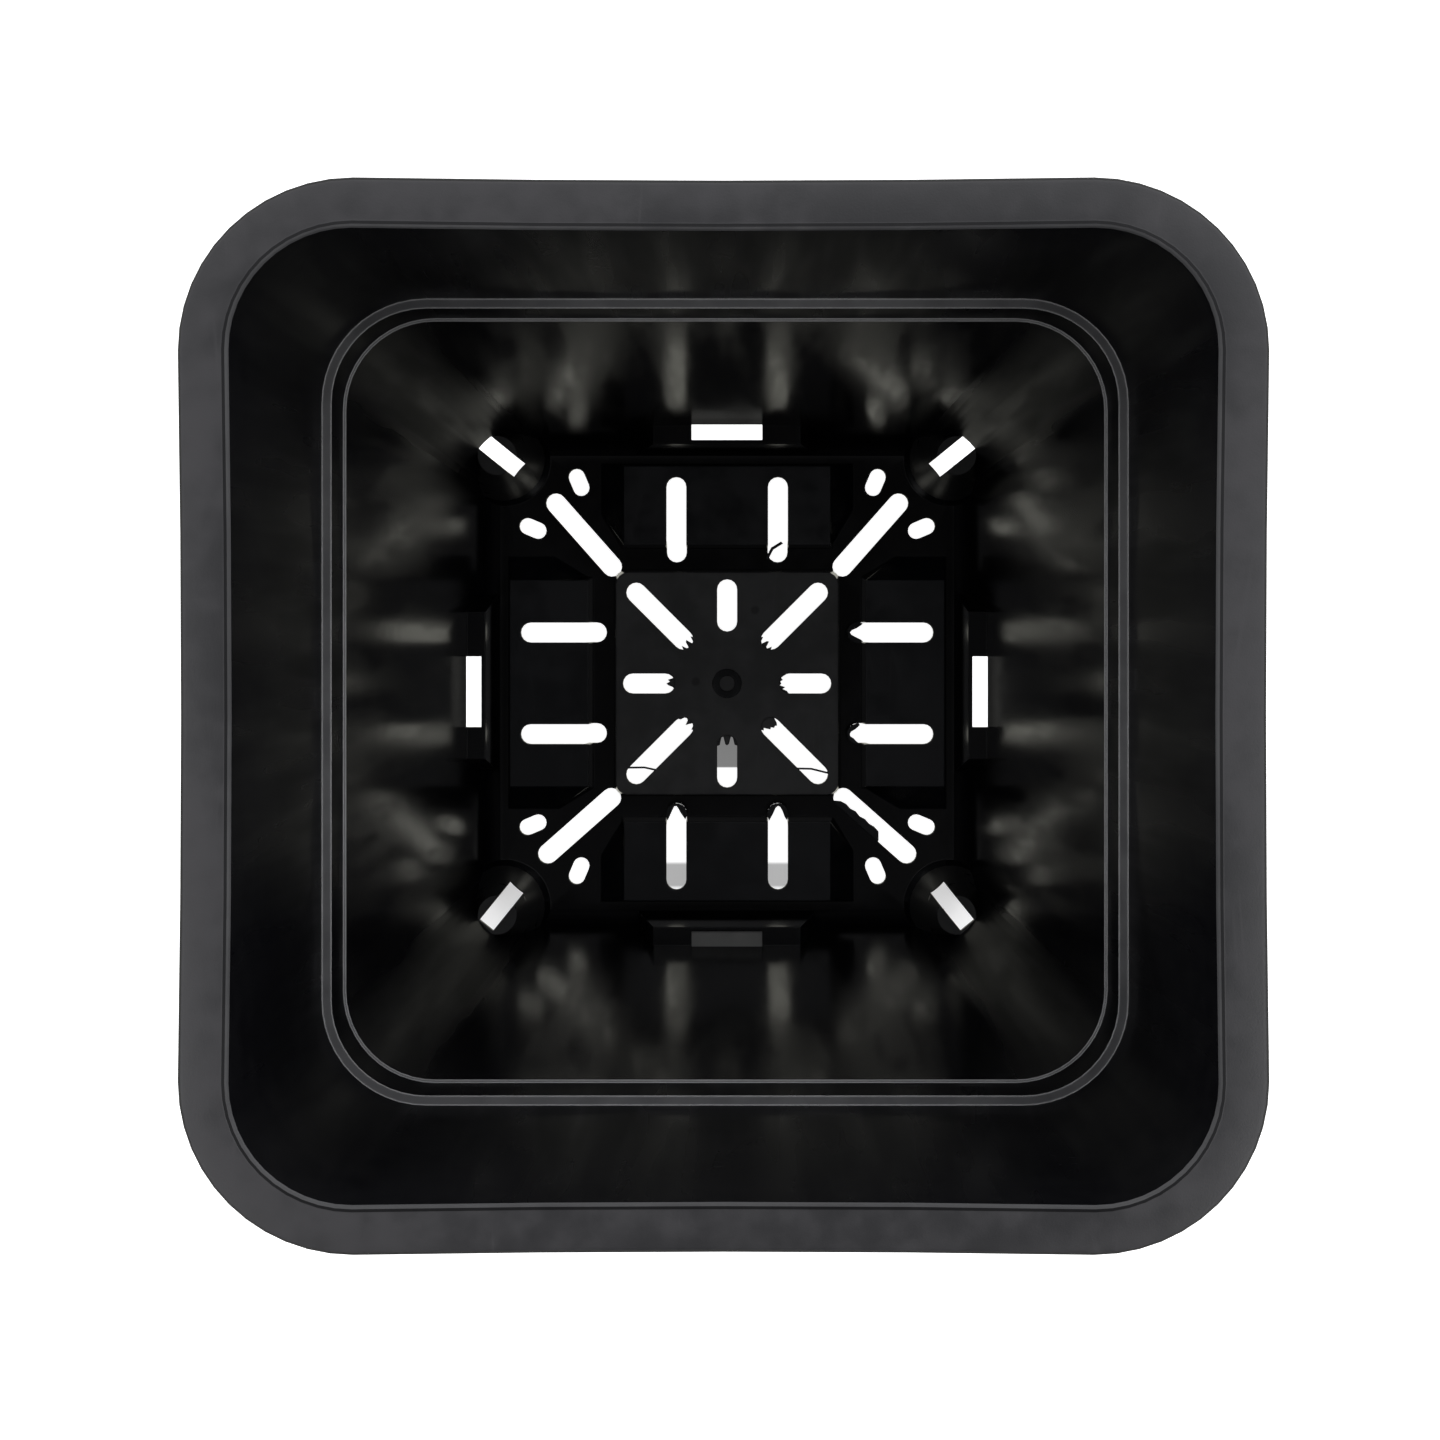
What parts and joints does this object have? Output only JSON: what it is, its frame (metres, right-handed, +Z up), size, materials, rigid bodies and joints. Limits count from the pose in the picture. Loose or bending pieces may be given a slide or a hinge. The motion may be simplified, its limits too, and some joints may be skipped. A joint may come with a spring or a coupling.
{
  "type": "square plastic pot",
  "caption": "Tall square nursery pot with a flat lip, a collar, a double stacking step, drafted walls and a slotted floor with drain arches.",
  "frame": {"origin": "middle of the resting face, under the pot's axis", "axes": "+Z up along the pot's axis towards the mouth, +X and +Y square to the sides"},
  "size_m": [0.2, 0.1978, 0.225],
  "materials": {
    "pot_plastic": "black moulded polypropylene, satin lip, glossy inside"
  },
  "bodies": {
    "root": {"pot": "pot_plastic"}
  },
  "joints": []
}
